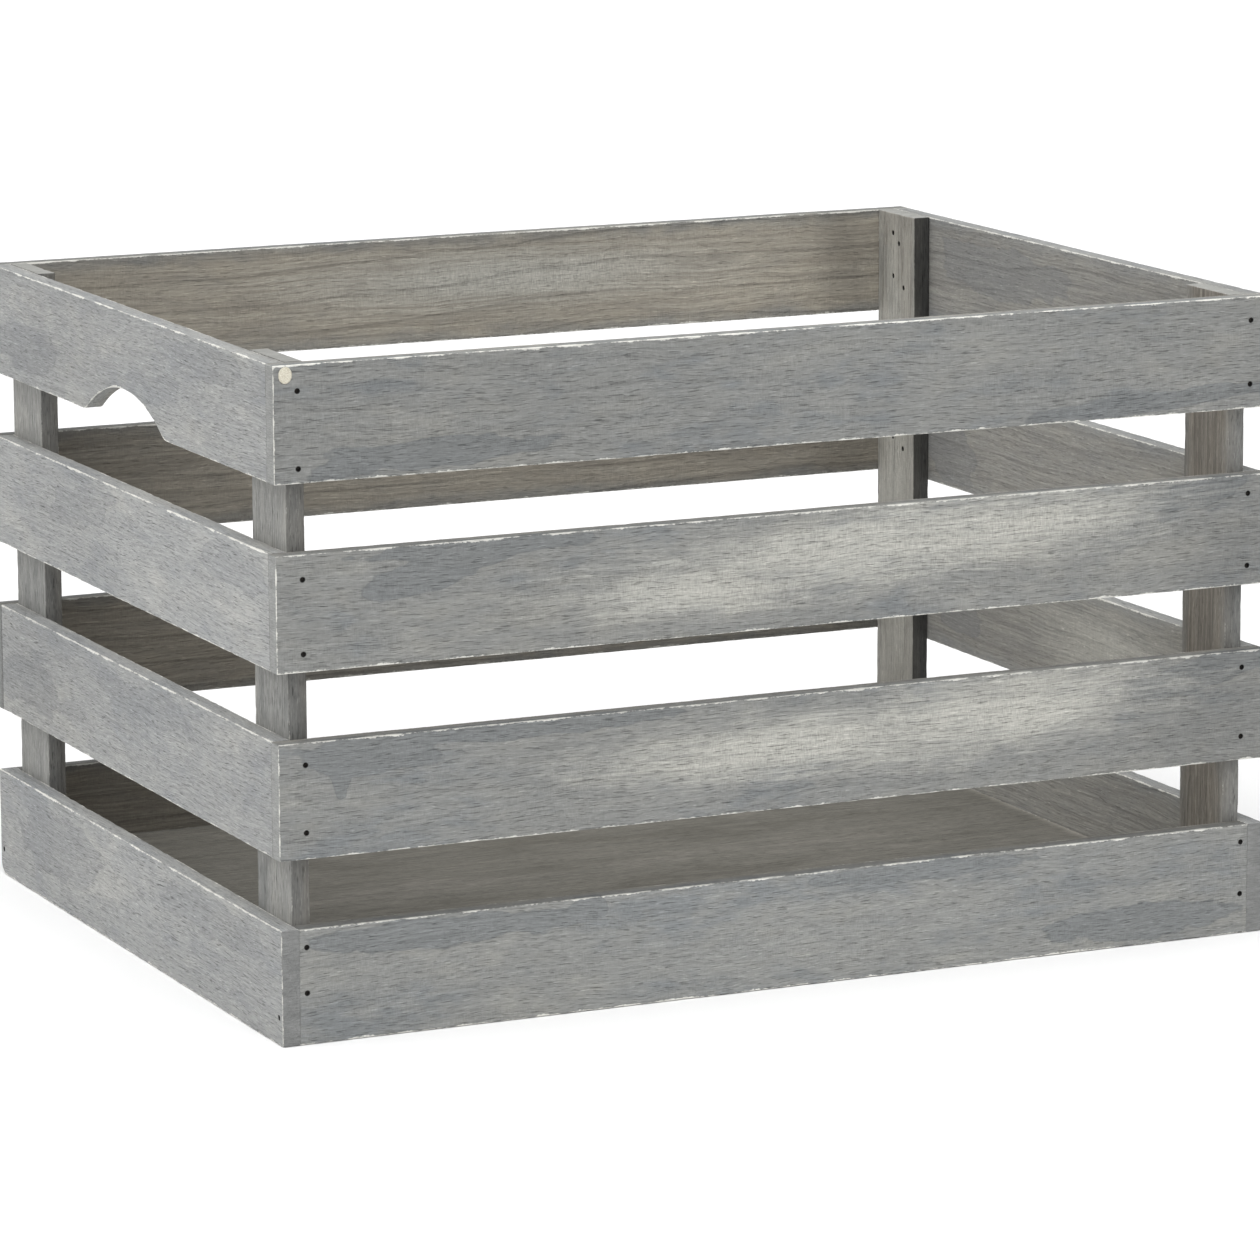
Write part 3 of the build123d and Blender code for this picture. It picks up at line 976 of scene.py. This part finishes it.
# Boards: node, direction of the grain, outward direction, whether its ends show, material, slot
plans = []
for row in ROWS:
    bottom = row == ROWS[-1]
    plans += [
        (f"front_slat_{row}", X, -Y, not bottom, slat_wood, "washed_slat"),
        (f"back_slat_{row}", -X, Y, not bottom, slat_wood, "washed_slat"),
        (f"left_end_slat_{row}", -Y, -X, bottom, end_wood, "washed_end_slat"),
        (f"right_end_slat_{row}", Y, X, bottom, end_wood, "washed_end_slat"),
    ]
for side in ("front", "back"):
    plans.append((f"{side}_left_batten", Z, X, True, batten_wood, "batten_wood"))
    plans.append((f"{side}_right_batten", Z, -X, True, batten_wood, "batten_wood"))
plans.append(("front_floor_cleat", X, Y, False, batten_wood, "batten_wood"))
plans.append(("back_floor_cleat", X, -Y, False, batten_wood, "batten_wood"))
plans.append(("floor_panel", X, Z, True, ply_wood, "floor_ply"))

brads = find_brads()
for number, (node, along, out, lap, material, slot) in enumerate(plans):
    board = Board(node, along, out, lap, seed=BOARD_SEED + number)
    if node.endswith("end_slat_1"):
        board.arch = ARCH
    if node == "left_end_slat_4":
        board.corner = KNOCKED_CORNER
    if node == "floor_panel":
        batten_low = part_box("back_right_batten")[0]
        room = (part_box("right_end_slat_1")[0].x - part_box("floor_panel")[1].x) * MM
        board.notch = (batten_low.x * MM - room, batten_low.y * MM - room)
    if node == "front_slat_1":
        low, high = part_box("corner_plug")
        at = board.local((low + high) / 2 * MM)
        oval = (high - low) / 2 * MM
        steps = [(oval.x, (high.y - low.y) * MM - board.half[W])]
        board.holes.append(Hole(W, 1, (at[U], at[V]), (1.0, oval.z / oval.x), steps, False))
    board.take_brads(brads)
    board.build(material)

for node in BRAD_NODES:
    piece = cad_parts[node]
    piece.data.materials.clear()
    piece.data.materials.append(steel)
make_plug(plug_material())

# Floor, a hair below the crate
FLOOR_REACH = 40.0
FLOOR_DROP = 0.0002
corners = [(x * FLOOR_REACH, y * FLOOR_REACH, 0) for x, y in ((-1, -1), (1, -1), (1, 1), (-1, 1))]
floor_mesh = bpy.data.meshes.new("studio_floor")
floor_mesh.from_pydata(corners, [], [(0, 1, 2, 3)])
s = Shade("pale floor")
specks = s.noise(s.scaled(s.object_place(), 60, 60, 60))
floor_mesh.materials.append(s.finish(rgb(246, 246, 246), 0.9, specks, 0.01, specular=0.0))
floor = link("studio_floor", floor_mesh)
floor.location.z = -FLOOR_DROP

# Light: a white room, brightest in a broad soft patch above and to the left of the camera
ROOM_LIGHT = 0.33
KEY_LIGHT = 3.2
KEY_BREADTH = 4.0
KEY_FROM = Vector((-0.30, -0.32, 0.90)).normalized()
world = bpy.data.worlds.new("studio")
bpy.context.scene.world = world
world.use_nodes = True
sky = world.node_tree
look = sky.nodes.new("ShaderNodeTexCoord").outputs["Generated"]
lobe = sky.nodes.new("ShaderNodeVectorMath")
lobe.operation = "DOT_PRODUCT"
lobe.inputs[1].default_value = KEY_FROM
sky.links.new(look, lobe.inputs[0])
last = lobe.outputs["Value"]
for what, value in (
    ("MAXIMUM", 0.0), ("POWER", KEY_BREADTH), ("MULTIPLY", KEY_LIGHT), ("ADD", ROOM_LIGHT),
):
    step = sky.nodes.new("ShaderNodeMath")
    step.operation = what
    step.inputs[1].default_value = value
    sky.links.new(last, step.inputs[0])
    last = step.outputs[0]
background = sky.nodes["Background"]
background.inputs["Color"].default_value = (1, 1, 1, 1)
sky.links.new(last, background.inputs["Strength"])

# Camera: where the photo was taken from, in metres, and the way it looks, in degrees
CAMERA_PLACE = (-1.1226, -2.4388, 0.6454)
CAMERA_TURN, CAMERA_DIP, CAMERA_ROLL = 24.84, 11.01, -0.23
CAMERA_LENS = 176.4
SENSOR_WIDTH = 36.0
turn, dip = math.radians(CAMERA_TURN), math.radians(CAMERA_DIP)
forward = Vector((
    math.sin(turn) * math.cos(dip),
    math.cos(turn) * math.cos(dip),
    -math.sin(dip),
))
roll = Matrix.Rotation(math.radians(CAMERA_ROLL), 4, "Z")
aim = forward.to_track_quat("-Z", "Y").to_matrix().to_4x4() @ roll
camera = link("camera", bpy.data.cameras.new("camera"))
camera.location = CAMERA_PLACE
camera.rotation_mode = "QUATERNION"
camera.rotation_quaternion = aim.to_quaternion()
camera.data.sensor_width = SENSOR_WIDTH
camera.data.lens = CAMERA_LENS
camera.data.clip_start, camera.data.clip_end = 0.1, 100.0
bpy.context.scene.camera = camera
bpy.context.scene.view_settings.view_transform = "Standard"
